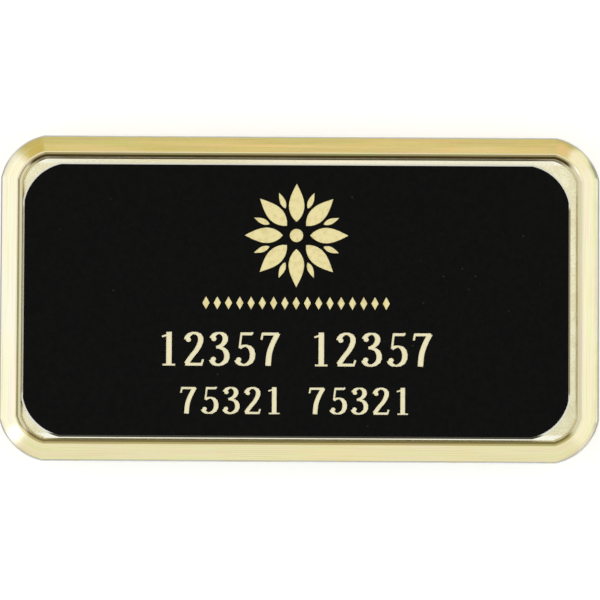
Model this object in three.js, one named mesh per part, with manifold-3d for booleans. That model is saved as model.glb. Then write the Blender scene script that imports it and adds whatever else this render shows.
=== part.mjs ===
// Name badge: a pale gold frame shaped as a shallow tray, an engraved two-layer plate lying in it,
// and a plain magnetic clasp bar on the back. Millimetres, +Z up. The badge lies on its back with
// its face up, its long side along X and its upper edge towards +Y.
// The origin is the centre of the clasp's back face.
import * as THREE from 'three';
import { mergeVertices } from 'three/addons/utils/BufferGeometryUtils.js';
import Module from 'manifold-3d';

const wasm = await Module();
wasm.setup();

// Engraved plate: a thin black cap bonded on a gold core
const PLATE_WIDTH = 76.2;
const PLATE_HEIGHT = 38.1;
const PLATE_CORNER_RADIUS = 6.8;
const CORE_THICKNESS = 1.48;
const CAP_THICKNESS = 0.12;
const PLATE_EDGE_BEVEL = 0.18;

// The plate lies loose in the recess, nearer its left and lower sides
const RECESS_CLEARANCE = 0.56;
const PLATE_SHIFT_X_SHARE = -0.85;
const PLATE_SHIFT_Y_SHARE = -0.39;

// Frame: flat floor, raised rim with a sloping face, a ridge and an inner wall. The recess's
// corners are tighter than the plate's, so the floor shows in them.
const FLOOR_THICKNESS = 1.0;
const FACE_WIDTH = 2.33;
const FACE_DROP = 1.08;
const FACE_CROWN = 0.045;
const RIDGE_ABOVE_PLATE = 0.55;
const RIDGE_WIDTH = 0.1;
const WALL_RUN = 0.68;
const RECESS_CORNER_SHARE = 0.679;
const OUTER_EDGE_ROUND = 0.2;
const BACK_EDGE_CHAMFER = 0.25;

// Slopes of the inner wall from the ridge down, each with its share of the wall's run and its
// angle in degrees. A steep foot takes up the rest of the run.
const WALL_SLOPES = [
  { runShare: 0.44, angle: 35 },
  { runShare: 0.5, angle: 43.5 },
];

// Every corner arc meets the straight sides at this small angle
const CORNER_MEET_ANGLE = THREE.MathUtils.degToRad(12);
const CORNER_SEGMENTS = 12;

// Magnetic clasp: one plain bar with rounded corners
const CLASP_LENGTH = 45.0;
const CLASP_WIDTH = 13.0;
const CLASP_THICKNESS = 4.0;
const CLASP_CORNER_SHARE = 0.23;
const CLASP_EDGE_CHAMFER = 0.4;

// Engraving: a rosette, a row of lozenges and two rows of plain figures, placed as shares of the
// plate's width and height from its centre
const ROSETTE = { y: 0.238, radius: 0.19, hub: 0.13, petals: 8 };
const PETAL = { start: 0.26, end: 1.0, halfWidth: 0.15 };
const BUD = { start: 0.56, end: 0.89, halfWidth: 0.055 };
const LEAF_FULLNESS = 0.8;
const LOZENGE_ROW = { y: -0.01, width: 0.35, height: 0.048, count: 17, fill: 0.64 };
const FIGURE_ROWS = [
  { digits: '12357 12357', y: -0.178, width: 0.51, height: 0.125 },
  { digits: '75321 75321', y: -0.366, width: 0.43, height: 0.1 },
];
const FIGURE_FILL = 0.84;
const CURVE_SEGMENTS = 12;
const BALL_SEGMENTS = 8;
const CUT_MARGIN = 0.5;

// Figures are drawn in a box one unit high and FIGURE_BOX_WIDTH wide. A pen stroke is STEM wide
// where it runs up and down and HAIR wide where it runs across; a bar or serif has its own width.
// A ball is the round end of a curve.
const FIGURE_BOX_WIDTH = 0.54;
const STEM = 0.14;
const HAIR = 0.05;
const BAR = 0.085;
const SERIF = 0.055;
const BALL_RADIUS = 0.07;
const FIGURES = {
  1: {
    strokes: [
      { width: 'pen', line: [[0.27, 0.01], [0.27, 0.99]] },
      { width: 'serif', line: [[0.28, 0.95], [0.19, 0.885], [0.09, 0.85]] },
      { width: 'serif', line: [[0.11, 0.03], [0.43, 0.03]] },
    ],
    balls: [],
  },
  2: {
    strokes: [
      {
        width: 'pen',
        line: [[0.07, 0.76], [0.12, 0.89], [0.26, 0.965], [0.4, 0.89], [0.43, 0.73], [0.35, 0.5],
          [0.2, 0.28], [0.07, 0.06]],
      },
      { width: 'bar', line: [[0.04, 0.045], [0.47, 0.045]] },
      { width: 'serif', line: [[0.45, 0.03], [0.49, 0.19]] },
    ],
    balls: [[0.12, 0.76]],
  },
  3: {
    strokes: [
      {
        width: 'pen',
        line: [[0.07, 0.8], [0.13, 0.91], [0.26, 0.965], [0.38, 0.9], [0.41, 0.76], [0.33, 0.61],
          [0.18, 0.54]],
      },
      {
        width: 'pen',
        line: [[0.18, 0.54], [0.36, 0.5], [0.45, 0.34], [0.42, 0.14], [0.26, 0.03], [0.12, 0.07],
          [0.06, 0.19]],
      },
    ],
    balls: [[0.12, 0.79], [0.11, 0.2]],
  },
  5: {
    strokes: [
      { width: 'bar', line: [[0.15, 0.94], [0.44, 0.94]] },
      { width: 'serif', line: [[0.43, 0.92], [0.46, 0.99]] },
      { width: 'serif', line: [[0.175, 0.96], [0.13, 0.52]] },
      {
        width: 'pen',
        line: [[0.13, 0.53], [0.27, 0.6], [0.41, 0.52], [0.46, 0.34], [0.42, 0.14], [0.27, 0.03],
          [0.12, 0.07], [0.06, 0.18]],
      },
    ],
    balls: [[0.11, 0.19]],
  },
  7: {
    strokes: [
      { width: 'bar', line: [[0.05, 0.94], [0.48, 0.94]] },
      { width: 'serif', line: [[0.07, 0.96], [0.04, 0.77]] },
      { width: 'pen', line: [[0.455, 0.96], [0.33, 0.68], [0.24, 0.37], [0.21, 0.01]] },
    ],
    balls: [],
  },
};

// Heights and widths worked out from the driving dimensions
const plateThickness = CORE_THICKNESS + CAP_THICKNESS;
const ridgeZ = FLOOR_THICKNESS + plateThickness + RIDGE_ABOVE_PLATE;
const faceFootZ = ridgeZ - FACE_DROP;
const wallStart = FACE_WIDTH + RIDGE_WIDTH;
const rimWidth = wallStart + WALL_RUN;
const frameWidth = PLATE_WIDTH + 2 * (RECESS_CLEARANCE + rimWidth);
const frameHeight = PLATE_HEIGHT + 2 * (RECESS_CLEARANCE + rimWidth);
const frameCornerRadius = RECESS_CORNER_SHARE * PLATE_CORNER_RADIUS + rimWidth;
const plateShift = new THREE.Vector2(PLATE_SHIFT_X_SHARE, PLATE_SHIFT_Y_SHARE)
  .multiplyScalar(RECESS_CLEARANCE);

// Rounded oblong moved in by inset. The corner arcs keep their centres, so all outlines of a
// piece run parallel.
function roundedOutline({ width, height, radius }, inset) {
  const centreInset = radius * Math.cos(CORNER_MEET_ANGLE);
  const arcRadius = radius - inset;
  const meet = Math.acos((centreInset - inset) / arcRadius);
  const centres = [[1, 1], [-1, 1], [-1, -1], [1, -1]];
  return centres.flatMap(([sideX, sideY], quarter) => {
    const start = quarter * Math.PI / 2;
    const arc = new THREE.ArcCurve(
      sideX * (width / 2 - centreInset),
      sideY * (height / 2 - centreInset),
      arcRadius,
      start + meet,
      start + Math.PI / 2 - meet,
      false,
    );
    return arc.getPoints(CORNER_SEGMENTS);
  });
}

// Closed solid through a stack of parallel outlines, each row giving its inset and height
function stackedSolid(oblong, rows) {
  const outlines = rows.map(({ inset }) => roundedOutline(oblong, inset));
  const count = outlines[0].length;
  const positions = outlines.flatMap((outline, row) => (
    outline.flatMap((point) => [point.x, point.y, rows[row].z])
  ));
  const triangles = [];
  for (let row = 0; row + 1 < rows.length; row += 1) {
    for (let step = 0; step < count; step += 1) {
      const next = (step + 1) % count;
      const lower = row * count;
      const upper = lower + count;
      triangles.push(lower + step, lower + next, upper + next);
      triangles.push(lower + step, upper + next, upper + step);
    }
  }
  const last = (rows.length - 1) * count;
  THREE.ShapeUtils.triangulateShape(outlines[0], []).forEach(([a, b, c]) => {
    triangles.push(a, c, b);
  });
  THREE.ShapeUtils.triangulateShape(outlines[rows.length - 1], []).forEach(([a, b, c]) => {
    triangles.push(last + a, last + b, last + c);
  });
  const geometry = new THREE.BufferGeometry();
  geometry.setAttribute('position', new THREE.Float32BufferAttribute(positions, 3));
  geometry.setIndex(triangles);
  return geometry;
}

function prism(outline, thickness) {
  return new THREE.ExtrudeGeometry(new THREE.Shape(outline), { depth: thickness, bevelEnabled: false });
}

function toManifold(geometry) {
  const bare = geometry.clone();
  bare.deleteAttribute('normal');
  bare.deleteAttribute('uv');
  const merged = mergeVertices(bare);
  return new wasm.Manifold(new wasm.Mesh({
    numProp: 3,
    vertProperties: merged.attributes.position.array,
    triVerts: new Uint32Array(merged.index.array),
  }));
}

function toGeometry(solid) {
  const mesh = solid.getMesh();
  const geometry = new THREE.BufferGeometry();
  geometry.setAttribute('position', new THREE.BufferAttribute(mesh.vertProperties, 3));
  geometry.setIndex(new THREE.BufferAttribute(mesh.triVerts, 1));
  return geometry;
}

// Band along a centre line, its width given at each point by the direction of travel
function strokeOutline(line, widthAt) {
  const left = [];
  const right = [];
  line.forEach((point, index) => {
    const before = line[Math.max(index - 1, 0)];
    const after = line[Math.min(index + 1, line.length - 1)];
    const along = after.clone().sub(before).normalize();
    const across = new THREE.Vector2(-along.y, along.x).multiplyScalar(widthAt(along) / 2);
    left.push(point.clone().add(across));
    right.unshift(point.clone().sub(across));
  });
  return [...left, ...right];
}

function penWidth(along) {
  return HAIR + (STEM - HAIR) * Math.abs(along.y);
}

const strokeWidths = { pen: penWidth, bar: () => BAR, serif: () => SERIF };

// Outlines of one figure in its own box
function figureOutlines(digit) {
  const { strokes, balls } = FIGURES[digit];
  const bands = strokes.map(({ width, line }) => {
    const curve = new THREE.SplineCurve(line.map(([x, y]) => new THREE.Vector2(x, y)));
    const steps = line.length > 2 ? CURVE_SEGMENTS : 1;
    return strokeOutline(curve.getPoints(steps), strokeWidths[width]);
  });
  const ends = balls.map(([x, y]) => (
    new THREE.ArcCurve(x, y, BALL_RADIUS, 0, 2 * Math.PI, false).getPoints(BALL_SEGMENTS).slice(1)
  ));
  return [...bands, ...ends];
}

// Row of figures, each in its own cell, centred across the plate
function figureRowOutlines({ digits, y, width, height }) {
  const cell = width * PLATE_WIDTH / digits.length;
  const figureHeight = height * PLATE_HEIGHT;
  const scale = new THREE.Vector2(FIGURE_FILL * cell / FIGURE_BOX_WIDTH, figureHeight);
  return [...digits].flatMap((digit, index) => {
    if (digit === ' ') {
      return [];
    }
    const corner = new THREE.Vector2(
      (index - digits.length / 2 + (1 - FIGURE_FILL) / 2) * cell,
      y * PLATE_HEIGHT - figureHeight / 2,
    );
    return figureOutlines(digit).map((outline) => (
      outline.map((point) => point.clone().multiply(scale).add(corner))
    ));
  });
}

// Row of upright lozenges
function lozengeRowOutlines({ y, width, height, count, fill }) {
  const cell = width * PLATE_WIDTH / count;
  const halfWidth = fill * cell / 2;
  const halfHeight = height * PLATE_HEIGHT / 2;
  const middle = y * PLATE_HEIGHT;
  return Array.from({ length: count }, (_, index) => {
    const x = (index - (count - 1) / 2) * cell;
    return [
      new THREE.Vector2(x + halfWidth, middle),
      new THREE.Vector2(x, middle + halfHeight),
      new THREE.Vector2(x - halfWidth, middle),
      new THREE.Vector2(x, middle - halfHeight),
    ];
  });
}

// Pointed leaf lying along the X axis, its ends and width given as shares of a radius
function leafOutline({ start, end, halfWidth }, radius) {
  const upper = Array.from({ length: CURVE_SEGMENTS + 1 }, (_, index) => {
    const share = index / CURVE_SEGMENTS;
    return new THREE.Vector2(
      start + (end - start) * share,
      halfWidth * Math.sin(Math.PI * share ** LEAF_FULLNESS),
    ).multiplyScalar(radius);
  });
  const lower = upper.slice(1, -1).map((point) => new THREE.Vector2(point.x, -point.y));
  return [...lower, ...upper.reverse()];
}

// Rosette of pointed petals round a hub, with a bud between each two petals
function rosetteOutlines({ y, radius, hub, petals }) {
  const reach = radius * PLATE_HEIGHT;
  const origin = new THREE.Vector2();
  const hubOutline = new THREE.ArcCurve(0, 0, hub * reach, 0, 2 * Math.PI, false)
    .getPoints(2 * BALL_SEGMENTS).slice(1);
  const turned = (outline, angle) => (
    outline.map((point) => point.clone().rotateAround(origin, angle))
  );
  const petal = leafOutline(PETAL, reach);
  const bud = leafOutline(BUD, reach);
  const pitch = 2 * Math.PI / petals;
  const ring = Array.from({ length: petals }, (_, index) => [
    turned(petal, index * pitch),
    turned(bud, (index + 0.5) * pitch),
  ]).flat();
  const centre = new THREE.Vector2(0, y * PLATE_HEIGHT);
  return [hubOutline, ...ring].map((outline) => outline.map((point) => point.clone().add(centre)));
}

// Rows of the frame's inner wall, from under the ridge to above its foot
function wallRows() {
  let inset = wallStart;
  let z = ridgeZ;
  return WALL_SLOPES.map(({ runShare, angle }) => {
    inset += runShare * WALL_RUN;
    z -= runShare * WALL_RUN * Math.tan(THREE.MathUtils.degToRad(angle));
    return { inset, z };
  });
}

function frameGeometry() {
  const rows = [
    { inset: BACK_EDGE_CHAMFER, z: 0 },
    { inset: 0, z: BACK_EDGE_CHAMFER },
    { inset: 0, z: faceFootZ - OUTER_EDGE_ROUND },
    { inset: OUTER_EDGE_ROUND, z: faceFootZ + OUTER_EDGE_ROUND / 2 },
    { inset: FACE_WIDTH / 2, z: (faceFootZ + ridgeZ) / 2 + FACE_CROWN },
    { inset: FACE_WIDTH, z: ridgeZ },
    { inset: wallStart, z: ridgeZ },
    ...wallRows(),
    { inset: rimWidth, z: FLOOR_THICKNESS },
  ];
  return stackedSolid({ width: frameWidth, height: frameHeight, radius: frameCornerRadius }, rows);
}

const plateOblong = { width: PLATE_WIDTH, height: PLATE_HEIGHT, radius: PLATE_CORNER_RADIUS };

function plateCoreGeometry() {
  return stackedSolid(plateOblong, [
    { inset: 0, z: 0 },
    { inset: 0, z: CORE_THICKNESS - PLATE_EDGE_BEVEL },
    { inset: PLATE_EDGE_BEVEL, z: CORE_THICKNESS },
  ]);
}

function plateCapGeometry() {
  const engraving = [
    ...rosetteOutlines(ROSETTE),
    ...lozengeRowOutlines(LOZENGE_ROW),
    ...FIGURE_ROWS.flatMap(figureRowOutlines),
  ];
  const cutterDepth = CAP_THICKNESS + 2 * CUT_MARGIN;
  const sheet = toManifold(prism(roundedOutline(plateOblong, PLATE_EDGE_BEVEL), CAP_THICKNESS));
  const engraved = engraving.reduce((solid, outline) => {
    const cutter = toManifold(prism(outline, cutterDepth).translate(0, 0, -CUT_MARGIN));
    return solid.subtract(cutter);
  }, sheet);
  return toGeometry(engraved);
}

function magnetClaspGeometry() {
  const bar = {
    width: CLASP_LENGTH,
    height: CLASP_WIDTH,
    radius: CLASP_CORNER_SHARE * CLASP_WIDTH,
  };
  return stackedSolid(bar, [
    { inset: CLASP_EDGE_CHAMFER, z: 0 },
    { inset: 0, z: CLASP_EDGE_CHAMFER },
    { inset: 0, z: CLASP_THICKNESS },
  ]);
}

function namedMesh(name, geometry, colour, roughness, metalness) {
  const material = new THREE.MeshStandardMaterial({
    color: new THREE.Color(colour),
    roughness,
    metalness,
    flatShading: true,
  });
  const mesh = new THREE.Mesh(geometry, material);
  mesh.name = name;
  return mesh;
}

const magnetClasp = namedMesh('magnet_clasp', magnetClaspGeometry(), '#2b2b2d', 0.5, 0.0);
const frame = namedMesh('frame', frameGeometry(), '#e6d9a3', 0.18, 1.0);
const plateCore = namedMesh('plate_core', plateCoreGeometry(), '#e3d59a', 0.4, 0.8);
const plateCap = namedMesh('plate_cap', plateCapGeometry(), '#171716', 0.6, 0.0);

plateCap.position.z = CORE_THICKNESS;
const plate = new THREE.Group();
plate.add(plateCore, plateCap);
plate.position.set(plateShift.x, plateShift.y, FLOOR_THICKNESS);

const framedPlate = new THREE.Group();
framedPlate.add(frame, plate);
framedPlate.position.z = CLASP_THICKNESS;

const badge = new THREE.Group();
badge.add(magnetClasp, framedPlate);

export default badge;
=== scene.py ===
"""Dresses the name badge and sets it in a plain pale studio.

The badge lies on its back with its face up, and the camera looks almost straight down on it. Sizes
in the dataclasses are millimetres and angles are degrees. Blender's are metres and radians.
"""
import logging
import math
from dataclasses import dataclass
from enum import Enum

import bmesh
import bpy
from mathutils import Matrix, Vector


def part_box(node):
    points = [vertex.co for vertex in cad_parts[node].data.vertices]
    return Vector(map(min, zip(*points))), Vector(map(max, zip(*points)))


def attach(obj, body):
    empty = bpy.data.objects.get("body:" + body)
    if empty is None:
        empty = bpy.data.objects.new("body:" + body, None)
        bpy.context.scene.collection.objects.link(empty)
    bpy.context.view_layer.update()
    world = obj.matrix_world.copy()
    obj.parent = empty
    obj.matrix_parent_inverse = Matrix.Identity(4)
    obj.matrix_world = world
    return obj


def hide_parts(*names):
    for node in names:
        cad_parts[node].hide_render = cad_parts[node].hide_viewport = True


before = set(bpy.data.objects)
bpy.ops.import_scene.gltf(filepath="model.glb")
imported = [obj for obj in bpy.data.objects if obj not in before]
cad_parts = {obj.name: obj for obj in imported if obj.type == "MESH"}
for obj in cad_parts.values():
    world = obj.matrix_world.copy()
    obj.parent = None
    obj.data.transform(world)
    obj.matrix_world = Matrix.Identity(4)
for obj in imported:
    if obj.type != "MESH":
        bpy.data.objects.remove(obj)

MM = 0.001
BODY = "root"
ACROSS = "across"
SEAM = 1e-7
SAME_CORNER = 1e-6
LEVEL_GAP = 0.01
FLAT_NORMAL = 0.999
BEVEL_NORMAL = 0.99
NEARLY_HALF = 0.49
HALF_STEP = 0.5
CORNERS = 4.0
RIGHT_ANGLE = 90.0
# Blender's wave pattern turns by so many radians over one unit.
WAVE_RADIANS = 20.0
LOG = logging.getLogger("badge")

Colour = tuple[float, float, float]
Pair = tuple[float, float]
Value = float | bpy.types.NodeSocket


class MixPlace(Enum):
    """Places of the mix node's sockets that carry colours."""

    SHARE = 0
    FIRST = 6
    SECOND = 7
    RESULT = 2


class NodeSheet:
    """Adds nodes to one tree and links them."""

    def __init__(self, tree: bpy.types.NodeTree) -> None:
        """Starts a sheet on a tree.

        Args:
            tree: the node tree that is filled.
        """
        self.tree = tree

    def add(self, kind: str, inputs: dict[str | int, object] | None = None,
            **settings: object) -> bpy.types.Node:
        """Adds one node.

        Args:
            kind: Blender's type name of the node.
            inputs: values or sockets for its inputs, by name or place.
            **settings: the node's own settings.

        Returns:
            The new node.
        """
        node = self.tree.nodes.new(kind)
        for name, value in settings.items():
            setattr(node, name, value)
        for name, value in (inputs or {}).items():
            if isinstance(value, bpy.types.NodeSocket):
                self.tree.links.new(value, node.inputs[name])
            else:
                node.inputs[name].default_value = value
        return node

    def math(self, operation: str, first: Value, second: Value = 0.0) -> bpy.types.NodeSocket:
        """Adds a sum on one or two numbers.

        Args:
            operation: Blender's name of the sum.
            first: the first number or socket.
            second: the second number or socket.

        Returns:
            The result's socket.
        """
        maths = self.add("ShaderNodeMath", {0: first, 1: second}, operation=operation)
        return maths.outputs[0]

    def ramp(self, value: bpy.types.NodeSocket, low: float, high: float,
             low_to: float = 0.0, high_to: float = 1.0) -> bpy.types.NodeSocket:
        """Maps a number smoothly from one range to another.

        Args:
            value: the number's socket.
            low: where the range starts.
            high: where the range ends.
            low_to: the result at the start.
            high_to: the result at the end.

        Returns:
            The result's socket.
        """
        ranged = self.add("ShaderNodeMapRange", {
            "Value": value,
            "From Min": low,
            "From Max": high,
            "To Min": low_to,
            "To Max": high_to,
        }, interpolation_type="SMOOTHSTEP")
        return ranged.outputs["Result"]

    def facing(self, direction: bpy.types.NodeSocket, way: object) -> bpy.types.NodeSocket:
        """Tells how far a direction points a given way.

        Args:
            direction: the direction's socket.
            way: the way, of length 1.

        Returns:
            The socket of the cosine of the angle between them.
        """
        dot = self.add("ShaderNodeVectorMath", {0: direction, 1: way}, operation="DOT_PRODUCT")
        return dot.outputs["Value"]

    def mix(self, share: Value, first: object, second: object) -> bpy.types.NodeSocket:
        """Mixes two colours.

        Args:
            share: how much of the second colour shows.
            first: a colour or a socket.
            second: a colour or a socket.

        Returns:
            The mixed colour's socket.
        """
        mixer = self.tree.nodes.new("ShaderNodeMix")
        mixer.data_type = "RGBA"
        factor = mixer.inputs[MixPlace.SHARE.value]
        if isinstance(share, bpy.types.NodeSocket):
            self.tree.links.new(share, factor)
        else:
            factor.default_value = share
        for place, colour in ((MixPlace.FIRST, first), (MixPlace.SECOND, second)):
            socket = mixer.inputs[place.value]
            if isinstance(colour, bpy.types.NodeSocket):
                self.tree.links.new(colour, socket)
            else:
                socket.default_value = (*colour, 1.0)
        return mixer.outputs[MixPlace.RESULT.value]


class Patch(Enum):
    """Size of a surface pattern's features, in millimetres."""

    BROAD = 9.0
    MIDDLE = 2.6
    SMALL = 0.7
    GRAIN = 0.16


class Span(Enum):
    """Part of a pattern's range over which one finish passes into another."""

    WHOLE = (0.3, 0.7)
    WIDEST = (0.25, 0.75)
    CRISP = (0.42, 0.58)
    WARMTH = (0.4, 0.66)
    STREAKS = (0.48, 0.6)
    TINTS = (0.5, 0.62)
    LINES = (0.52, 0.64)
    EDGES = (0.53, 0.6)
    SHADE_PATCHES = (0.5, 0.72)
    CLOUDED = (0.42, 0.7)
    DUSTY = (0.5, 0.6)
    SPECKS = (0.07, 0.03)


class Axis(Enum):
    """Direction across the badge, by its place in a point's coordinates."""

    LONG = 0
    SHORT = 1


class Surface(NodeSheet):
    """Node tree of one procedural material."""

    def __init__(self, name: str) -> None:
        """Makes a material with one principled shader.

        Args:
            name: the material's name.
        """
        self.material = bpy.data.materials.new(name)
        self.material.use_nodes = True
        super().__init__(self.material.node_tree)
        self.shader = self.tree.nodes["Principled BSDF"]
        self.coordinates = self.add("ShaderNodeTexCoord").outputs["Object"]

    def noise(self, patch: Patch, detail: float = 3.0, shift: float = 0.0) -> bpy.types.NodeSocket:
        """Adds a noise with features of one size.

        Args:
            patch: how large the features are.
            detail: how many finer layers it has.
            shift: where the pattern starts, so that two noises differ.

        Returns:
            The noise's value, about 0.5 on average.
        """
        place = self.add("ShaderNodeMapping", {"Vector": self.coordinates, "Location": (shift,) * 3})
        inputs = {"Vector": place.outputs[0], "Scale": 1 / (patch.value * MM), "Detail": detail}
        return self.add("ShaderNodeTexNoise", inputs).outputs["Fac"]

    def blend(self, first: bpy.types.NodeSocket, second: bpy.types.NodeSocket,
              share: float) -> bpy.types.NodeSocket:
        """Adds two patterns together.

        Args:
            first: the first pattern's value.
            second: the second pattern's value.
            share: the second pattern's part in the whole.

        Returns:
            The result's socket.
        """
        rest = self.math("MULTIPLY", first, 1.0 - share)
        return self.math("ADD", rest, self.math("MULTIPLY", second, share))

    def over(self, value: bpy.types.NodeSocket, span: Span,
             low_to: float = 0.0, high_to: float = 1.0) -> bpy.types.NodeSocket:
        """Maps a pattern smoothly over one span of its range.

        Args:
            value: the pattern's value.
            span: where the result starts and stops changing.
            low_to: the result at the span's start.
            high_to: the result at its end.

        Returns:
            The result's socket.
        """
        low, high = span.value
        return self.ramp(value, low, high, low_to, high_to)

    def beyond(self, axis: Axis, start: float, end: float) -> bpy.types.NodeSocket:
        """Tells how far a point lies beyond a line across the badge.

        Args:
            axis: the direction in which the share rises or falls.
            start: where the share starts to rise, in millimetres from the middle.
            end: where the share is whole.

        Returns:
            The share's socket.
        """
        along = self.add("ShaderNodeSeparateXYZ", {0: self.coordinates}).outputs[axis.value]
        if end < start:
            return self.ramp(along, end * MM, start * MM, 1.0, 0.0)
        return self.ramp(along, start * MM, end * MM)

    def set(self, **values: object) -> None:
        """Sets or links the shader's sockets.

        Args:
            **values: values or sockets, by the socket's name with underscores.
        """
        for name, value in values.items():
            socket = self.shader.inputs[name.replace("_", " ")]
            if isinstance(value, bpy.types.NodeSocket):
                self.tree.links.new(value, socket)
            elif socket.type == "RGBA":
                socket.default_value = (*value, 1.0)
            else:
                socket.default_value = value

    def bump(self, *layers: tuple[bpy.types.NodeSocket, float]) -> None:
        """Gives the surface a relief of one or more layers.

        Args:
            *layers: a height socket and its depth in millimetres, for each layer.
        """
        normal = None
        for height, depth in layers:
            inputs = {"Height": height, "Strength": 1.0, "Distance": depth * MM}
            if normal is not None:
                inputs["Normal"] = normal
            normal = self.add("ShaderNodeBump", inputs).outputs["Normal"]
        self.set(Normal=normal)


@dataclass(frozen=True)
class PolishedGold:
    """Polished pale gold of the rim, with soft streaks drawn along it."""

    pale: Colour = (0.9, 0.83, 0.57)
    warm: Colour = (0.93, 0.8, 0.5)
    green: Colour = (0.86, 0.84, 0.5)
    rose: Colour = (0.92, 0.78, 0.58)
    deep: Colour = (0.8, 0.7, 0.42)
    warm_share: float = 0.8
    green_share: float = 0.65
    rose_share: float = 0.65
    deep_share: float = 0.5
    edge_share: float = 0.5
    roughness: float = 0.06
    clouding: float = 0.06
    line_dulling: float = 0.03
    streak_width: float = 0.42
    tint_widening: float = 1.6
    line_width: float = 0.09
    streak_length: float = 12.0
    tint_shift: float = 3.7
    line_shift: float = 8.1
    ripple_shift: float = 0.3
    dent_depth: float = 0.02
    ripple_depth: float = 0.008
    streak_depth: float = 0.005
    line_depth: float = 0.0006

    def material(self) -> bpy.types.Material:
        """Returns the finished material."""
        surface = Surface("polished_gold")
        streaks = self.drawn(surface, self.streak_width, 0.0)
        tints = self.drawn(surface, self.tint_widening * self.streak_width, self.tint_shift)
        lines = self.drawn(surface, self.line_width, self.line_shift)
        broad = surface.noise(Patch.BROAD)
        middle = surface.noise(Patch.MIDDLE, shift=self.ripple_shift)
        warm = surface.over(broad, Span.WARMTH, high_to=self.warm_share)
        green = surface.over(streaks, Span.STREAKS, high_to=self.green_share)
        rose = surface.over(tints, Span.TINTS, high_to=self.rose_share)
        deep = surface.over(lines, Span.LINES, high_to=self.deep_share)
        pointed = surface.add("ShaderNodeNewGeometry").outputs["Pointiness"]
        edge = surface.over(pointed, Span.EDGES, high_to=self.edge_share)
        colour = surface.mix(warm, self.pale, self.warm)
        colour = surface.mix(green, colour, self.green)
        colour = surface.mix(rose, colour, self.rose)
        colour = surface.mix(deep, colour, self.deep)
        colour = surface.mix(edge, colour, self.pale)
        clouded = surface.math("ADD", self.roughness, surface.math("MULTIPLY", middle, self.clouding))
        lined = surface.math("MULTIPLY", lines, self.line_dulling)
        surface.set(
            Base_Color=colour,
            Metallic=1.0,
            Roughness=surface.math("ADD", clouded, lined),
        )
        surface.bump(
            (broad, self.dent_depth),
            (middle, self.ripple_depth),
            (streaks, self.streak_depth),
            (lines, self.line_depth),
        )
        return surface.material

    def drawn(self, surface: Surface, width: float, shift: float) -> bpy.types.NodeSocket:
        """Adds a noise drawn out along the rim.

        Args:
            surface: the material that is filled.
            width: how wide its features are, in millimetres.
            shift: where the pattern starts.

        Returns:
            The noise's value, about 0.5 on average.
        """
        across = surface.add("ShaderNodeAttribute", attribute_name=ACROSS).outputs["Fac"]
        along = surface.add("ShaderNodeSeparateXYZ", {0: surface.coordinates}).outputs
        place = surface.add("ShaderNodeCombineXYZ", {
            0: surface.math("ADD", surface.math("DIVIDE", across, width * MM), shift),
            1: surface.math("DIVIDE", along[0], self.streak_length * MM),
            2: surface.math("DIVIDE", along[1], self.streak_length * MM),
        }).outputs["Vector"]
        noise = surface.add("ShaderNodeTexNoise", {"Vector": place, "Scale": 1.0, "Detail": 2.0})
        return noise.outputs["Fac"]


@dataclass(frozen=True)
class SatinGold:
    """Satin gold of the recess floor and the flat back, with a fine grain and painted shade that makes
    it deeper in the lower half. The narrow strips above and below the plate are smoother, and
    painted light makes them paler."""

    pale: Colour = (0.97, 0.93, 0.68)
    deep: Colour = (0.85, 0.805, 0.535)
    # Tones of the lower half, deeper than above: painted shade.
    shaded_pale: Colour = (0.88, 0.84, 0.59)
    shaded_deep: Colour = (0.75, 0.705, 0.44)
    # Paler colour of the narrow strips beside the plate: painted light where the deep gaps lose light.
    clear: Colour = (1.0, 0.975, 0.8)
    roughness: Pair = (0.13, 0.23)
    grain_share: float = 0.6
    shaded_lower_half: Pair = (5.0, -12.0)
    upper_strip: Pair = (18.7, 19.0)
    lower_strip: Pair = (-18.7, -19.0)
    strip_calm: float = 0.65
    cloud_depth: float = 0.004
    grain_depth: float = 0.012

    def material(self) -> bpy.types.Material:
        """Returns the finished material."""
        surface = Surface("satin_gold")
        grain = surface.noise(Patch.GRAIN, detail=2.0)
        cloud = surface.noise(Patch.MIDDLE)
        grainy = surface.over(surface.blend(cloud, grain, self.grain_share), Span.CRISP)
        # Painted shade: the lower half takes the deeper pair of tones.
        colour = surface.mix(
            surface.beyond(Axis.SHORT, *self.shaded_lower_half),
            surface.mix(grainy, self.pale, self.deep),
            surface.mix(grainy, self.shaded_pale, self.shaded_deep),
        )
        strip = surface.math("MAXIMUM", surface.beyond(Axis.SHORT, *self.upper_strip),
                             surface.beyond(Axis.SHORT, *self.lower_strip))
        coarse = surface.math("SUBTRACT", 1.0, surface.math("MULTIPLY", strip, self.strip_calm))
        satin = surface.over(cloud, Span.WHOLE, *self.roughness)
        surface.set(
            # Painted light: the narrow strips take the paler strip colour.
            Base_Color=surface.mix(strip, colour, self.clear),
            Metallic=1.0,
            Roughness=surface.math("MULTIPLY", satin, coarse),
        )
        surface.bump(
            (surface.math("MULTIPLY", cloud, coarse), self.cloud_depth),
            (surface.math("MULTIPLY", grain, coarse), self.grain_depth),
        )
        return surface.material


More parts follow.
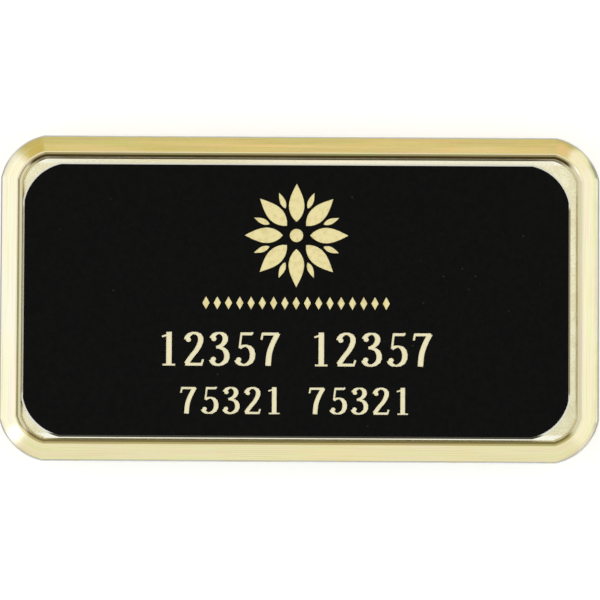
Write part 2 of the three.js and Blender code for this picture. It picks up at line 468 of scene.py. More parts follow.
@dataclass(frozen=True)
class EdgeShadeLine:
    """Dull grey line along the frame's outer edge: painted shade, darkest at the two ends and
    patchy over the gold."""

    # Grey of the edge line, patchy over the gold, and the darker grey of its ends: painted shade.
    grey: Colour = (0.58, 0.6, 0.6)
    gold: Colour = (0.62, 0.58, 0.44)
    painted_end_shade: Colour = (0.36, 0.38, 0.39)
    roughness: Pair = (0.26, 0.44)
    right_end: Pair = (40.2, 41.2)
    left_end: Pair = (-40.2, -41.2)
    rub_depth: float = 0.004

    def material(self) -> bpy.types.Material:
        """Returns the finished material."""
        surface = Surface("painted_edge_shade")
        rubs = surface.noise(Patch.SMALL)
        cloud = surface.noise(Patch.MIDDLE)
        # Painted shade darkens the line towards the two ends.
        shaded_ends = surface.math("MAXIMUM", surface.beyond(Axis.LONG, *self.right_end),
                            surface.beyond(Axis.LONG, *self.left_end))
        colour = surface.mix(surface.over(cloud, Span.SHADE_PATCHES), self.grey, self.gold)
        surface.set(
            Base_Color=surface.mix(shaded_ends, colour, self.painted_end_shade),
            Metallic=1.0,
            Roughness=surface.over(rubs, Span.WHOLE, *self.roughness),
        )
        surface.bump((rubs, self.rub_depth))
        return surface.material


@dataclass(frozen=True)
class DullFoot:
    """Dull gold of the wall's steep foot, with painted shade darkening it along the upper side."""

    dull: Colour = (0.92, 0.87, 0.66)
    # Dark colour of the foot along the upper side: painted shade.
    painted_shade: Colour = (0.3, 0.26, 0.17)
    roughness: Pair = (0.34, 0.52)
    shaded_upper_side: Pair = (18.6, 19.4)
    mottle_depth: float = 0.006

    def material(self) -> bpy.types.Material:
        """Returns the finished material."""
        surface = Surface("dull_foot")
        foot_mottle = surface.noise(Patch.SMALL)
        # Painted shade darkens the foot along the upper side.
        shaded_side = surface.beyond(Axis.SHORT, *self.shaded_upper_side)
        surface.set(
            Base_Color=surface.mix(shaded_side, self.dull, self.painted_shade),
            Metallic=0.8,
            Roughness=surface.over(foot_mottle, Span.WHOLE, *self.roughness),
        )
        surface.bump((foot_mottle, self.mottle_depth))
        return surface.material


@dataclass(frozen=True)
class CutEdge:
    """Bevel that the cutter leaves round the plate, dull at the left end, with a painted highlight
    above and at the corners, painted shade at the right end and a painted shadow along the lower side."""

    # Bright colour: painted highlight on the upper part and the lower corners.
    bright: Colour = (1.0, 0.99, 0.93)
    dull: Colour = (0.68, 0.64, 0.53)
    # Colour of the right end: painted shade.
    shaded: Colour = (0.32, 0.29, 0.19)
    # Colour along the lower side: painted shadow.
    painted_shadow: Colour = (0.05, 0.042, 0.028)
    roughness: Pair = (0.32, 0.48)
    right_half: Pair = (-1.0, 1.0)
    highlit_upper_part: Pair = (12.4, 13.2)
    highlit_lower_corners: Pair = (-12.8, -13.6)
    shadowed_lower_side: Pair = (-18.6, -19.0)
    chatter_depth: float = 0.004

    def material(self) -> bpy.types.Material:
        """Returns the finished material."""
        surface = Surface("cut_edge")
        chatter = surface.noise(Patch.GRAIN)
        # Painted shade at the right end.
        end = surface.mix(surface.beyond(Axis.LONG, *self.right_half), self.dull, self.shaded)
        # Painted highlight on the upper part and the lower corners.
        colour = surface.mix(surface.beyond(Axis.SHORT, *self.highlit_upper_part), end, self.bright)
        highlit_corners = surface.beyond(Axis.SHORT, *self.highlit_lower_corners)
        colour = surface.mix(highlit_corners, colour, self.bright)
        # Painted shadow along the lower side.
        lower = surface.beyond(Axis.SHORT, *self.shadowed_lower_side)
        surface.set(
            Base_Color=surface.mix(lower, colour, self.painted_shadow),
            Metallic=0.0,
            Roughness=surface.over(chatter, Span.WHOLE, *self.roughness),
        )
        surface.bump((chatter, self.chatter_depth))
        return surface.material


@dataclass(frozen=True)
class EngravedGold:
    """Gold core of the plate, satin, with the cutter's fine marks, and painted light that makes it
    paler in the lower rows.
    """

    bright: Colour = (0.93, 0.83, 0.44)
    deep: Colour = (0.84, 0.72, 0.36)
    # Paler gold of the lower rows: painted light.
    pale: Colour = (0.94, 0.88, 0.62)
    painted_light_share: float = 0.8
    roughness: Pair = (0.3, 0.44)
    lit_lower_rows: Pair = (-1.5, -4.5)
    cut_pitch: float = 0.11
    cloud_depth: float = 0.004
    cut_depth: float = 0.002

    def material(self) -> bpy.types.Material:
        """Returns the finished material."""
        surface = Surface("engraved_gold")
        cuts = surface.add("ShaderNodeTexWave", {
            "Vector": surface.coordinates,
            "Scale": 2 * math.pi / (WAVE_RADIANS * self.cut_pitch * MM),
            "Distortion": 1.2,
            "Detail": 2.0,
        }, bands_direction="Y").outputs["Fac"]
        cloud = surface.noise(Patch.SMALL)
        lower = surface.beyond(Axis.SHORT, *self.lit_lower_rows)
        colour = surface.mix(surface.over(cloud, Span.CLOUDED), self.bright, self.deep)
        surface.set(
            # Painted light makes the lower rows paler.
            Base_Color=surface.mix(surface.math("MULTIPLY", lower, self.painted_light_share), colour, self.pale),
            Metallic=0.85,
            Roughness=surface.over(cloud, Span.WHOLE, *self.roughness),
        )
        surface.bump((cloud, self.cloud_depth), (cuts, self.cut_depth))
        return surface.material


@dataclass(frozen=True)
class MattBlack:
    """Matt black layer of the plate, with a faint grain and a few pale specks."""

    black: Colour = (0.0018, 0.0018, 0.002)
    brown: Colour = (0.004, 0.0038, 0.0036)
    speck: Colour = (0.03, 0.03, 0.028)
    roughness: Pair = (0.42, 0.62)
    gloss: float = 0.06
    grain_share: float = 0.6
    speck_pitch: float = 2.2
    cloud_depth: float = 0.006
    grain_depth: float = 0.008

    def material(self) -> bpy.types.Material:
        """Returns the finished material."""
        surface = Surface("matt_black")
        grain = surface.noise(Patch.GRAIN)
        mottle = surface.noise(Patch.SMALL)
        cloud = surface.noise(Patch.BROAD)
        spots = surface.add("ShaderNodeTexVoronoi", {
            "Vector": surface.coordinates,
            "Scale": 1 / (self.speck_pitch * MM),
        }).outputs["Distance"]
        mottled = surface.over(surface.blend(mottle, grain, self.grain_share), Span.CRISP)
        colour = surface.mix(mottled, self.black, self.brown)
        specks = surface.over(spots, Span.SPECKS)
        dust = surface.math("MULTIPLY", specks, surface.over(cloud, Span.DUSTY))
        surface.set(
            Base_Color=surface.mix(dust, colour, self.speck),
            Metallic=0.0,
            Roughness=surface.over(grain, Span.WIDEST, *self.roughness),
            Specular_IOR_Level=self.gloss,
        )
        surface.bump((cloud, self.cloud_depth), (grain, self.grain_depth))
        return surface.material


@dataclass(frozen=True)
class ClaspPlastic:
    """Plain satin black plastic of the clasp, finely textured."""

    black: Colour = (0.016, 0.016, 0.017)
    grey: Colour = (0.026, 0.026, 0.027)
    roughness: Pair = (0.37, 0.55)
    cloud_depth: float = 0.004
    grain_depth: float = 0.006

    def material(self) -> bpy.types.Material:
        """Returns the finished material."""
        surface = Surface("clasp_plastic")
        grain = surface.noise(Patch.GRAIN, detail=4.0)
        cloud = surface.noise(Patch.MIDDLE)
        surface.set(
            Base_Color=surface.mix(surface.over(cloud, Span.WHOLE), self.black, self.grey),
            Roughness=surface.over(grain, Span.WHOLE, *self.roughness),
        )
        surface.bump((cloud, self.cloud_depth), (grain, self.grain_depth))
        return surface.material


@dataclass(frozen=True)
class PalePaper:
    """Plain pale sheet that the badge lies on, faintly lit through from below."""

    white: Colour = (0.84, 0.84, 0.855)
    shade: Colour = (0.82, 0.82, 0.835)
    glow: float = 0.45

    def material(self) -> bpy.types.Material:
        """Returns the finished material."""
        surface = Surface("pale_paper")
        cloud = surface.noise(Patch.BROAD)
        surface.set(
            Base_Color=surface.mix(cloud, self.white, self.shade),
            Roughness=0.8,
            Specular_IOR_Level=0.1,
            Emission_Color=self.white,
            Emission_Strength=self.glow,
        )
        return surface.material


@dataclass(frozen=True)
class Turn:
    """One corner of a section: how far in and how high it is, and how softly it turns."""

    inset: float
    height: float
    softness: float = 0.0


@dataclass(frozen=True)
class Section:
    """Half section of a solid, from its lower face round its side to its upper face."""

    turns: tuple[Turn, ...]
    steps: int = 5

    def points(self) -> list[Vector]:
        """Works out the section's line with each corner turned softly.

        Returns:
            The inset, the height and the way run along the line, for each point, in metres.
        """
        line = self.softened()
        run = 0.0
        points = [Vector((*line[0], run))]
        for before, after in zip(line, line[1:]):
            run += (after - before).length
            points.append(Vector((*after, run)))
        return [point * MM for point in points]

    def softened(self) -> list[Vector]:
        """Turns each corner softly.

        Returns:
            The inset and the height of each point of the line, in millimetres.
        """
        line: list[Vector] = []
        last = len(self.turns) - 1
        for place, turn in enumerate(self.turns):
            corner = Vector((turn.inset, turn.height))
            if place in (0, last) or turn.softness == 0:
                line.append(corner)
                continue
            before, after = self.turns[place - 1], self.turns[place + 1]
            start = self.towards(corner, before, turn.softness)
            end = self.towards(corner, after, turn.softness)
            for step in range(self.steps + 1):
                share = step / self.steps
                line.append(start.lerp(corner, share).lerp(corner.lerp(end, share), share))
        return line

    @staticmethod
    def towards(corner: Vector, neighbour: Turn, distance: float) -> Vector:
        """Moves from a corner towards the next one, at most nearly half way.

        Args:
            corner: the corner's place.
            neighbour: the corner that it moves towards.
            distance: how far, in millimetres.

        Returns:
            The point reached.
        """
        way = Vector((neighbour.inset, neighbour.height)) - corner
        return corner + way.normalized() * min(distance, way.length * NEARLY_HALF)


@dataclass(frozen=True)
class RoundedOblong:
    """Oblong outline whose corner arcs meet the straight sides at a slight angle."""

    width: float
    height: float
    corner_radius: float
    meet_angle: float = 12.0
    corner_steps: int = 20

    def sweep_tree(self, name: str) -> bpy.types.NodeTree:
        """Builds the tree that carries a section round the outline.

        The section comes in as a line: its X is the inset, its Y the height and its Z the way run
        along it. Each inset has arcs of its own about the corners' fixed middles.

        Args:
            name: the tree's name.

        Returns:
            The tree, with the outline's sizes as named inputs.
        """
        tree = bpy.data.node_groups.new(name, "GeometryNodeTree")
        sheet = NodeSheet(tree)
        tree.interface.new_socket("Section", in_out="INPUT", socket_type="NodeSocketGeometry")
        for size in ("Width", "Height", "Corner Radius", "Meet Angle"):
            tree.interface.new_socket(size, in_out="INPUT", socket_type="NodeSocketFloat")
        tree.interface.new_socket("Corner Steps", in_out="INPUT", socket_type="NodeSocketInt")
        tree.interface.new_socket("Finish", in_out="INPUT", socket_type="NodeSocketMaterial")
        tree.interface.new_socket("Band", in_out="OUTPUT", socket_type="NodeSocketGeometry")
        given = sheet.add("NodeGroupInput").outputs
        rows = sheet.add("GeometryNodeAttributeDomainSize", {
            0: given["Section"],
        }, component="MESH").outputs["Point Count"]
        in_corner = sheet.math("ADD", given["Corner Steps"], 1.0)
        around = sheet.math("ADD", sheet.math("MULTIPLY", in_corner, CORNERS), 1.0)
        grid = sheet.add("GeometryNodeMeshGrid", {"Vertices X": around, "Vertices Y": rows})
        index = sheet.add("GeometryNodeInputIndex").outputs["Index"]
        column = sheet.math("FLOOR", sheet.math("DIVIDE", sheet.math("ADD", index, HALF_STEP), rows))
        row = sheet.math("SUBTRACT", index, sheet.math("MULTIPLY", column, rows))
        sampled = sheet.add("GeometryNodeSampleIndex", {
            "Geometry": given["Section"],
            "Value": sheet.add("GeometryNodeInputPosition").outputs["Position"],
            "Index": row,
        }, data_type="FLOAT_VECTOR").outputs["Value"]
        section = sheet.add("ShaderNodeSeparateXYZ", {0: sampled}).outputs
        measured = sheet.add("GeometryNodeStoreNamedAttribute", {
            "Geometry": grid.outputs["Mesh"],
            "Name": ACROSS,
            "Value": section[2],
        }, data_type="FLOAT", domain="POINT").outputs["Geometry"]
        placed = sheet.add("GeometryNodeSetPosition", {
            "Geometry": measured,
            "Position": self.place(sheet, given, column, section),
        }).outputs["Geometry"]
        closed = sheet.add("GeometryNodeMergeByDistance", {"Geometry": placed, "Distance": SEAM})
        real = sheet.add("GeometryNodeRealizeInstances", {"Geometry": closed.outputs["Geometry"]})
        finished = sheet.add("GeometryNodeSetMaterial", {
            "Geometry": real.outputs["Geometry"], "Material": given["Finish"],
        })
        sheet.add("NodeGroupOutput", {"Band": finished.outputs["Geometry"]})
        return tree

    @staticmethod
    def place(sheet: NodeSheet, given: bpy.types.bpy_prop_collection, column: bpy.types.NodeSocket,
              section: bpy.types.bpy_prop_collection) -> bpy.types.NodeSocket:
        """Places each point on the arc that its inset has in its corner.

        Args:
            sheet: the tree that is filled.
            given: the tree's inputs.
            column: how far round the outline the point is, counted in points.
            section: the point's inset, height and way run.

        Returns:
            The position's socket.
        """
        quarter_turn = math.pi / 2
        in_corner = sheet.math("ADD", given["Corner Steps"], 1.0)
        counted = sheet.math("DIVIDE", sheet.math("ADD", column, HALF_STEP), in_corner)
        quarter = sheet.math("FLOOR", counted)
        step = sheet.math("SUBTRACT", column, sheet.math("MULTIPLY", quarter, in_corner))
        radius = sheet.math("SUBTRACT", given["Corner Radius"], section[0])
        side = sheet.math("MULTIPLY", given["Corner Radius"], sheet.math("COSINE", given["Meet Angle"]))
        reach = sheet.math("SUBTRACT", side, section[0])
        meet = sheet.math("ARCCOSINE", sheet.math("DIVIDE", reach, radius))
        bend = sheet.math("SUBTRACT", quarter_turn, sheet.math("MULTIPLY", meet, 2.0))
        turned = sheet.math("MULTIPLY", bend, sheet.math("DIVIDE", step, given["Corner Steps"]))
        start = sheet.math("MULTIPLY", quarter, quarter_turn)
        angle = sheet.math("ADD", sheet.math("ADD", start, meet), turned)
        middle = sheet.math("ADD", start, quarter_turn / 2)
        flat = []
        for size, function in (("Width", "COSINE"), ("Height", "SINE")):
            way = sheet.math("SIGN", sheet.math(function, middle))
            centre = sheet.math("SUBTRACT", sheet.math("DIVIDE", given[size], 2.0), side)
            arc = sheet.math("MULTIPLY", radius, sheet.math(function, angle))
            flat.append(sheet.math("ADD", sheet.math("MULTIPLY", way, centre), arc))
        point = sheet.add("ShaderNodeCombineXYZ", {0: flat[0], 1: flat[1], 2: section[1]})
        return point.outputs["Vector"]

    def solid(self, name: str, section: Section, finish: bpy.types.Material,
              base: Vector) -> bpy.types.Object:
        """Sweeps a section round the outline and closes it into a solid.

        Args:
            name: the piece's name.
            section: the half section.
            finish: the material of the swept band.
            base: the middle of the lower face, in metres.

        Returns:
            The piece, a plain mesh with its place in its vertices.
        """
        line = section.points()
        drawn = bpy.data.meshes.new(f"{name}_section")
        drawn.from_pydata(line, [(place, place + 1) for place in range(len(line) - 1)], [])
        piece = bpy.data.objects.new(name, drawn)
        bpy.context.scene.collection.objects.link(piece)
        tree = self.sweep_tree(f"{name}_sweep")
        sweep = piece.modifiers.new("sweep", "NODES")
        sweep.node_group = tree
        sizes = {
            "Width": self.width * MM,
            "Height": self.height * MM,
            "Corner Radius": self.corner_radius * MM,
            "Meet Angle": math.radians(self.meet_angle),
            "Corner Steps": self.corner_steps,
            "Finish": finish,
        }
        for socket in tree.interface.items_tree:
            if socket.in_out == "INPUT" and socket.name in sizes:
                sweep[socket.identifier] = sizes[socket.name]
        swept = piece.evaluated_get(bpy.context.evaluated_depsgraph_get())
        band = bpy.data.meshes.new_from_object(swept)
        piece.modifiers.remove(sweep)
        band.materials.clear()
        band.materials.append(finish)
        piece.data = band
        self.close(band, base)
        return piece

    @staticmethod
    def close(band: bpy.types.Mesh, base: Vector) -> None:
        """Fills the band's two open ends, moves it to its place and evens its shading.

        Args:
            band: the swept mesh, which is changed.
            base: the middle of its lower face, in metres.
        """
        shape = bmesh.new()
        shape.from_mesh(band)
        bmesh.ops.remove_doubles(shape, verts=shape.verts, dist=SEAM)
        rims = [edge for edge in shape.edges if edge.is_boundary]
        bmesh.ops.holes_fill(shape, edges=rims, sides=0)
        bmesh.ops.translate(shape, verts=shape.verts, vec=base)
        bmesh.ops.recalc_face_normals(shape, faces=shape.faces)
        for face in shape.faces:
            face.smooth = True
        shape.to_mesh(band)
        shape.free()
        band.name = "closed_band"


def even_shading(piece: bpy.types.Object) -> None:
    """Lets large flat faces keep their own direction beside narrow soft edges.

    Args:
        piece: the piece, which gets one modifier.
    """
    shading = piece.modifiers.new("even_shading", "WEIGHTED_NORMAL")
    shading.mode = "FACE_AREA"
    shading.weight = 100
    shading.keep_sharp = True


def install(piece: bpy.types.Object, node: str) -> None:
    """Puts a finished piece in its CAD node's stead.

    Args:
        piece: the finished piece.
        node: the CAD node that it replaces.
    """
    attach(piece, BODY)
    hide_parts(node)
    LOG.info("%s: %d faces in place of %s", piece.name, len(piece.data.polygons), node)


@dataclass(frozen=True)
class WallSlope:
    """One slope of the inner wall: its share of the wall's run and its angle."""

    run_share: float
    angle: float

    def drop(self, wall_run: float) -> float:
        """Returns how far the wall falls over this slope."""
        return self.run_share * wall_run * math.tan(math.radians(self.angle))


class FrameZone(Enum):
    """Finish of each part of the frame, by its place among the frame's materials."""

    RIM = 0
    FLAT = 1
    EDGE = 2
    FOOT = 3


class CoreZone(Enum):
    """Finish of each part of the plate's core, by its place among the core's materials."""

    GOLD = 0
    BEVEL = 1


@dataclass
class GoldFrame:
    """The frame: a flat tray with a sloping face, a ridge and an inner wall."""

    corner_radius: float = 7.73
    floor_height: float = 1.0
    face_width: float = 2.33
    face_drop: float = 1.08
    face_crown: float = 0.045
    ridge_width: float = 0.1
    wall_run: float = 0.68
    wall_slopes: tuple[WallSlope, ...] = (WallSlope(0.44, 35.0), WallSlope(0.5, 43.5))
    edge_round: float = 0.2
    back_chamfer: float = 0.25
    floor_margin: float = 0.6
    back_turn: float = 0.12
    edge_turn: float = 0.06
    face_start_turn: float = 0.05
    crown_turn: float = 0.5
    ridge_turn: float = 0.06
    wall_start_turn: float = 0.05
    wall_turn: float = 0.06
    foot_turn: float = 0.1

    def section(self, ridge: float) -> Section:
        """Draws the rim from the flat back round to the recess floor.

        Args:
            ridge: the height of the ridge above the back.

        Returns:
            The rim's section.
        """
        face_foot = ridge - self.face_drop
        crown_height = (face_foot + ridge) / 2 + self.face_crown
        wall_start = self.face_width + self.ridge_width
        wall_foot = wall_start + self.wall_run
        inset, height = wall_start, ridge
        breaks: list[Turn] = []
        for slope in self.wall_slopes:
            inset += slope.run_share * self.wall_run
            height -= slope.drop(self.wall_run)
            breaks.append(Turn(inset, height, self.wall_turn))
        return Section((
            Turn(wall_foot, 0.0),
            Turn(self.back_chamfer, 0.0, self.back_turn),
            Turn(0.0, self.back_chamfer, self.back_turn),
            Turn(0.0, face_foot - self.edge_round, self.edge_turn),
            Turn(self.edge_round, face_foot + self.edge_round / 2, self.face_start_turn),
            Turn(self.face_width / 2, crown_height, self.crown_turn),
            Turn(self.face_width, ridge, self.ridge_turn),
            Turn(wall_start, ridge, self.wall_start_turn),
            *breaks,
            Turn(wall_foot, self.floor_height, self.foot_turn),
            Turn(wall_foot + self.floor_margin, self.floor_height),
        ))

    def build(self) -> bpy.types.Object:
        """Makes the frame and dresses it.

        Returns:
            The frame's piece.
        """
        low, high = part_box("frame")
        size = (high - low) / MM
        outline = RoundedOblong(size.x, size.y, self.corner_radius)
        base = Vector(((low.x + high.x) / 2, (low.y + high.y) / 2, low.z))
        piece = outline.solid("gold_frame", self.section(size.z), PolishedGold().material(), base)
        self.dress_zones(piece, base.z, high.z)
        even_shading(piece)
        install(piece, "frame")
        return piece

    def dress_zones(self, piece: bpy.types.Object, back: float, ridge: float) -> None:
        """Gives the flats, the outer edge and the wall's foot their own finishes, which carry painted
        light and shade.

        Args:
            piece: the frame's piece.
            back: the height of the back, in metres.
            ridge: the height of the ridge, in metres.
        """
        for finish in (SatinGold(), EdgeShadeLine(), DullFoot()):
            piece.data.materials.append(finish.material())
        floor = back + self.floor_height * MM
        edge_low = ridge - (self.face_drop + self.edge_round) * MM
        edge_high = ridge - (self.face_drop - self.edge_round / 2) * MM
        foot_high = ridge - sum(slope.drop(self.wall_run) for slope in self.wall_slopes) * MM
        for face in piece.data.polygons:
            flat = abs(face.normal.z) > FLAT_NORMAL
            height = face.center.z
            if flat and min(abs(height - floor), abs(height - back)) < LEVEL_GAP * MM:
                zone = FrameZone.FLAT
            elif edge_low < height < edge_high and self.faces_out(face):
                zone = FrameZone.EDGE
            elif floor < height < foot_high and not self.faces_out(face):
                zone = FrameZone.FOOT
            else:
                zone = FrameZone.RIM
            face.material_index = zone.value

    @staticmethod
    def faces_out(face: bpy.types.MeshPolygon) -> bool:
        """Tells whether a face looks away from the middle of the badge."""
        return face.normal.x * face.center.x + face.normal.y * face.center.y > 0


@dataclass
class EngravedPlate:
    """The two-layer plate: a gold core under a thin black cap with the engraving cut through."""

    corner_radius: float = 6.8
    edge_bevel: float = 0.26
    bevel_drop: float = 0.14
    spread: float = 0.09
    flare: float = 0.4
    closing_inset: float = 1.0
    side_turn: float = 0.05
    flare_turn: float = 0.01
    bevel_turn: float = 0.03
    turn_steps: int = 3
    lip: float = 0.02
    lip_angle: float = 60.0
    even_angle: float = 0.5

    def build(self) -> list[bpy.types.Object]:
        """Makes both layers.

        Returns:
            The core's and the cap's pieces.
        """
        return [self.core(), self.cap()]

    def core(self) -> bpy.types.Object:
        """Makes the gold core with its bevelled edge.

        Returns:
            The core's piece.
        """
        low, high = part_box("plate_core")
        size = (high - low) / MM
        section = Section((
            Turn(self.closing_inset, 0.0),
            Turn(self.spread, 0.0, self.side_turn),
            Turn(self.spread, size.z - self.flare, self.side_turn),
            Turn(0.0, size.z - self.bevel_drop, self.flare_turn),
            Turn(self.edge_bevel, size.z, self.bevel_turn),
            Turn(self.closing_inset, size.z),
        ), steps=self.turn_steps)
        outline = RoundedOblong(size.x + 2 * self.spread, size.y + 2 * self.spread,
                                self.corner_radius + self.spread)
        base = Vector(((low.x + high.x) / 2, (low.y + high.y) / 2, low.z))
        piece = outline.solid("engraved_core", section, EngravedGold().material(), base)
        piece.data.materials.append(CutEdge().material())
        for face in piece.data.polygons:
            bevelled = face.center.z > high.z - self.bevel_drop * MM and face.normal.z < BEVEL_NORMAL
            zone = CoreZone.BEVEL if bevelled else CoreZone.GOLD
            face.material_index = zone.value
        even_shading(piece)
        install(piece, "plate_core")
        return piece

    def cap(self) -> bpy.types.Object:
        """Makes the black cap from its solid, with the upper edges slightly broken.

        Returns:
            The cap's piece.
        """
        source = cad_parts["plate_cap"]
        mesh = source.data.copy()
        mesh.name = "engraved_cap"
        mesh.materials.clear()
        mesh.materials.append(MattBlack().material())
        shape = bmesh.new()
        shape.from_mesh(mesh)
        bmesh.ops.remove_doubles(shape, verts=shape.verts, dist=SAME_CORNER)
        bmesh.ops.dissolve_limit(shape, angle_limit=math.radians(self.even_angle),
                                 verts=shape.verts, edges=shape.edges)
        top = max(vertex.co.z for vertex in shape.verts)
        lips = [
            edge for edge in shape.edges
            if len(edge.link_faces) == 2
            and all(abs(vertex.co.z - top) < SEAM for vertex in edge.verts)
            and abs(edge.calc_face_angle(0.0)) > math.radians(self.lip_angle)
        ]
        bmesh.ops.bevel(shape, geom=lips, offset=self.lip * MM, segments=1, affect="EDGES",
                        clamp_overlap=True)
        for face in shape.faces:
            face.smooth = False
        shape.to_mesh(mesh)
        shape.free()
        piece = bpy.data.objects.new("engraved_cap", mesh)
        bpy.context.scene.collection.objects.link(piece)
        install(piece, "plate_cap")
        return piece


@dataclass
class MagnetClasp:
    """The plain clasp bar on the back."""

    corner_share: float = 0.23
    edge_chamfer: float = 0.4
    edge_turn: float = 0.25
    closing_inset: float = 1.2

    def build(self) -> bpy.types.Object:
        """Makes the bar with softly turned edges.

        Returns:
            The clasp's piece.
        """
        low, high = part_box("magnet_clasp")
        size = (high - low) / MM
        section = Section((
            Turn(self.closing_inset, 0.0),
            Turn(self.edge_chamfer, 0.0, self.edge_turn),
            Turn(0.0, self.edge_chamfer, self.edge_turn),
            Turn(0.0, size.z),
            Turn(self.closing_inset, size.z),
        ))
        outline = RoundedOblong(size.x, size.y, self.corner_share * size.y)
        base = Vector(((low.x + high.x) / 2, (low.y + high.y) / 2, low.z))
        piece = outline.solid("clasp_bar", section, ClaspPlastic().material(), base)
        even_shading(piece)
        install(piece, "magnet_clasp")
        return piece


@dataclass(frozen=True)
class LightBand:
    """Colour of the studio light at one height above the horizon."""

    elevation: float
    colour: Colour


@dataclass(frozen=True)
class SoftWall:
    """Soft light from one side of the studio, from the horizon upwards, plain or clouded."""

    towards: tuple[float, float]
    bands: tuple[LightBand, ...]
    clouds: tuple[Colour, ...] = ()


@dataclass(frozen=True)
class Glow:
    """Round patch of studio light, placed and sized by angles."""

    azimuth: float
    elevation: float
    colour: Colour
    inner: float
    outer: float

    def direction(self) -> Vector:
        """Returns the way to the patch."""
        flat = Matrix.Rotation(math.radians(self.azimuth), 3, "Z") @ Vector((1.0, 0.0, 0.0))
        rise = math.radians(self.elevation)
        return flat * math.cos(rise) + Vector((0.0, 0.0, math.sin(rise)))


@dataclass
class Studio:
    """Plain pale floor and soft light all round."""

    floor_size: float = 6.0
    overhead: Colour = (0.93, 0.95, 0.98)
    backdrop: Colour = (0.93, 0.93, 0.93)
    overhead_from: float = 66.0
    corner_blend: float = 9.0
    cloud_from: float = 28.0
    cloud_whole: float = 34.0
    cloud_span: Pair = (0.5, 0.62)
    cloud_scale: float = 17.0
    cloud_stretch: tuple[float, float, float] = (2.2, 1.0, 1.0)
    glows: tuple[Glow, ...] = (
        Glow(212.0, 36.0, (1.6, 1.7, 2.1), 3.0, 9.5),
        Glow(43.0, 36.0, (1.02, 1.03, 0.96), 8.0, 14.0),
        Glow(152.0, 40.0, (1.15, 1.15, 1.25), 4.0, 12.0),
        Glow(116.0, 38.0, (0.64, 0.55, 0.22), 1.0, 15.0),
        Glow(66.0, 38.0, (0.84, 0.68, 0.42), 1.0, 12.0),
    )
    walls: tuple[SoftWall, ...] = (
        SoftWall((-1.0, 0.0), (
            LightBand(0.0, (0.77, 0.77, 0.785)),
            LightBand(26.0, (0.78, 0.78, 0.8)),
            LightBand(30.0, (1.1, 1.16, 1.34)),
            LightBand(52.0, (1.1, 1.16, 1.34)),
        )),
        SoftWall((1.0, 0.0), (
            LightBand(0.0, (0.76, 0.79, 0.785)),
            LightBand(13.0, (0.76, 0.79, 0.785)),
            LightBand(18.0, (0.3, 0.31, 0.22)),
            LightBand(27.0, (0.3, 0.31, 0.22)),
            LightBand(30.5, (1.05, 1.08, 1.08)),
            LightBand(52.0, (1.05, 1.08, 1.08)),
        )),
        SoftWall((0.0, 1.0), (
            LightBand(0.0, (0.2, 0.18, 0.1)),
            LightBand(11.0, (0.22, 0.2, 0.11)),
            LightBand(18.0, (0.5, 0.46, 0.3)),
            LightBand(28.0, (0.55, 0.5, 0.3)),
            LightBand(33.0, (0.72, 0.7, 0.39)),
            LightBand(41.5, (0.72, 0.7, 0.39)),
            LightBand(46.0, (0.83, 0.78, 0.52)),
        ), clouds=((0.44, 0.44, 0.08), (0.96, 0.73, 0.5))),
        SoftWall((0.0, -1.0), (
            LightBand(0.0, (0.05, 0.04, 0.02)),
            LightBand(12.0, (0.06, 0.05, 0.025)),
            LightBand(19.0, (0.3, 0.28, 0.18)),
            LightBand(27.0, (0.36, 0.34, 0.22)),
            LightBand(32.0, (0.9, 0.91, 0.8)),
            LightBand(52.0, (0.9, 0.91, 0.8)),
        )),
    )

    def build(self) -> None:
        """Makes the floor and the light."""
        self.floor()
        self.light()

    def floor(self) -> None:
        """Lays the pale sheet under the badge."""
        half = self.floor_size / 2
        mesh = bpy.data.meshes.new("pale_floor")
        mesh.from_pydata([(-half, -half, 0), (half, -half, 0), (half, half, 0), (-half, half, 0)],
                         [], [(0, 1, 2, 3)])
        mesh.materials.append(PalePaper().material())
        sheet = bpy.data.objects.new("pale_floor", mesh)
        bpy.context.scene.collection.objects.link(sheet)

    def light(self) -> None:
        """Fills the world with soft light, seen by the camera as a plain backdrop."""
        world = bpy.data.worlds.new("soft_studio")
        world.use_nodes = True
        bpy.context.scene.world = world
        sheet = NodeSheet(world.node_tree)
        world.node_tree.nodes.clear()
        direction = sheet.add("ShaderNodeTexCoord").outputs["Generated"]
        parts = sheet.add("ShaderNodeSeparateXYZ", {0: direction}).outputs
        height = sheet.math("DIVIDE", sheet.math("ARCSINE", parts[2]), math.pi / 2)
        level = sheet.math("SQRT", sheet.math("ADD", sheet.math("MULTIPLY", parts[0], parts[0]),
                                              sheet.math("MULTIPLY", parts[1], parts[1])))
        corner = math.pi / 4
        blend = math.radians(self.corner_blend)
        colour: object = self.overhead
        for wall in self.walls:
            facing = sheet.facing(direction, (*wall.towards, 0.0))
            aside = sheet.math("ARCCOSINE", sheet.math("DIVIDE", facing, level))
            share = sheet.ramp(aside, corner - blend, corner + blend, 1.0, 0.0)
            colour = sheet.mix(share, colour, self.wall_light(sheet, wall, height))
        for glow in self.glows:
            facing = sheet.facing(direction, glow.direction())
            share = sheet.ramp(facing, math.cos(math.radians(glow.outer)),
                               math.cos(math.radians(glow.inner)))
            colour = sheet.mix(share, colour, glow.colour)
        seen = sheet.add("ShaderNodeLightPath").outputs["Is Camera Ray"]
        glowing = sheet.add("ShaderNodeBackground", {"Color": colour, "Strength": 1.0})
        plain = sheet.add("ShaderNodeBackground", {"Color": (*self.backdrop, 1.0), "Strength": 1.0})
        shown = sheet.add("ShaderNodeMixShader", {
            0: seen, 1: glowing.outputs[0], 2: plain.outputs[0],
        })
        sheet.add("ShaderNodeOutputWorld", {"Surface": shown.outputs[0]})

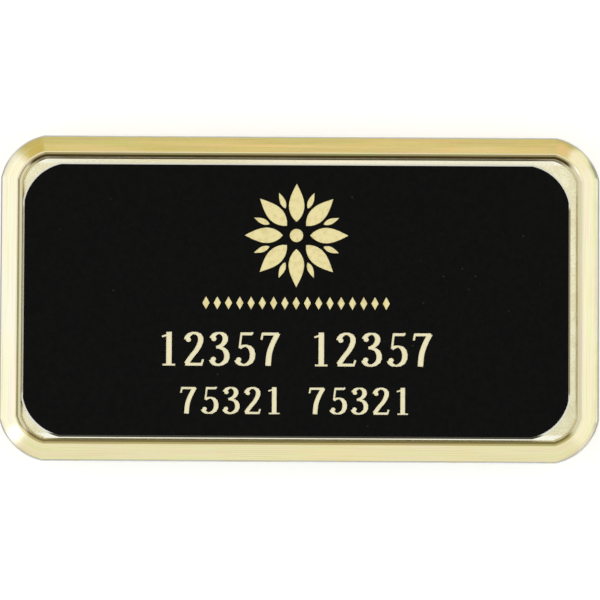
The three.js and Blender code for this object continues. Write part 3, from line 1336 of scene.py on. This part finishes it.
    def wall_light(self, sheet: NodeSheet, wall: SoftWall,
                   height: bpy.types.NodeSocket) -> bpy.types.NodeSocket:
        """Shades one side of the studio by height.

        Args:
            sheet: the world's tree.
            wall: the side.
            height: the height above the horizon, as a share of a right angle.

        Returns:
            The colour's socket.
        """
        ramp = sheet.add("ShaderNodeValToRGB", {"Fac": height})
        stops = ramp.color_ramp.elements
        bands = (*wall.bands, LightBand(self.overhead_from, self.overhead))
        stops[0].position = 0.0
        stops[1].position = bands[-1].elevation / RIGHT_ANGLE
        for band in bands[1:-1]:
            stops.new(band.elevation / RIGHT_ANGLE)
        for stop, band in zip(stops, bands):
            stop.color = (*band.colour, 1.0)
        colour = ramp.outputs["Color"]
        aloft = sheet.ramp(height, self.cloud_from / RIGHT_ANGLE, self.cloud_whole / RIGHT_ANGLE)
        for place, cloud in enumerate(wall.clouds):
            moved = sheet.add("ShaderNodeMapping", {
                "Vector": sheet.add("ShaderNodeTexCoord").outputs["Generated"],
                "Location": (place, place, place),
                "Scale": self.cloud_stretch,
            }).outputs[0]
            noise = sheet.add("ShaderNodeTexNoise", {
                "Vector": moved,
                "Scale": self.cloud_scale,
                "Detail": 3.0,
            }).outputs["Fac"]
            patches = sheet.ramp(noise, *self.cloud_span)
            colour = sheet.mix(sheet.math("MULTIPLY", patches, aloft), colour, cloud)
        return colour


@dataclass
class BadgeCamera:
    """Camera above the badge, a little below its middle, as the photograph was taken."""

    lens: float = 180.0
    sensor: float = 36.0
    seen_width: float = 83.66
    outline_height: float = 5.87
    roll: float = 0.31
    lean: float = 2.0
    picture_side: float = 600.0
    near_limit: float = 10.0
    centre_x: float = 299.6
    centre_y: float = 299.1

    def build(self) -> bpy.types.Object:
        """Sets the camera so that the badge fills the picture as in the photograph.

        Returns:
            The camera.
        """
        data = bpy.data.cameras.new("badge_camera")
        data.lens = self.lens
        data.sensor_width = self.sensor
        data.clip_start = self.near_limit * MM
        camera = bpy.data.objects.new("badge_camera", data)
        bpy.context.scene.collection.objects.link(camera)
        bpy.context.scene.camera = camera
        distance = self.seen_width * self.lens / self.sensor
        pixel = self.seen_width / self.picture_side
        half = self.picture_side / 2
        aside = Vector(((half - self.centre_x) * pixel, (self.centre_y - half) * pixel, 0.0))
        turn = Matrix.Rotation(math.radians(self.roll), 4, "Z")
        lean = Matrix.Rotation(math.radians(self.lean), 4, "X")
        middle = Matrix.Translation(Vector((0.0, 0.0, self.outline_height * MM)))
        back = Matrix.Translation((aside + Vector((0.0, 0.0, distance))) * MM)
        camera.matrix_world = middle @ turn @ lean @ back
        return camera


def main() -> None:
    """Builds the badge's pieces in order, then the studio and the camera."""
    logging.basicConfig(level=logging.INFO, format="%(message)s")
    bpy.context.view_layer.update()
    GoldFrame().build()
    EngravedPlate().build()
    MagnetClasp().build()
    Studio().build()
    BadgeCamera().build()
    bpy.context.scene.view_settings.view_transform = "Standard"


if __name__ == "__main__":
    main()
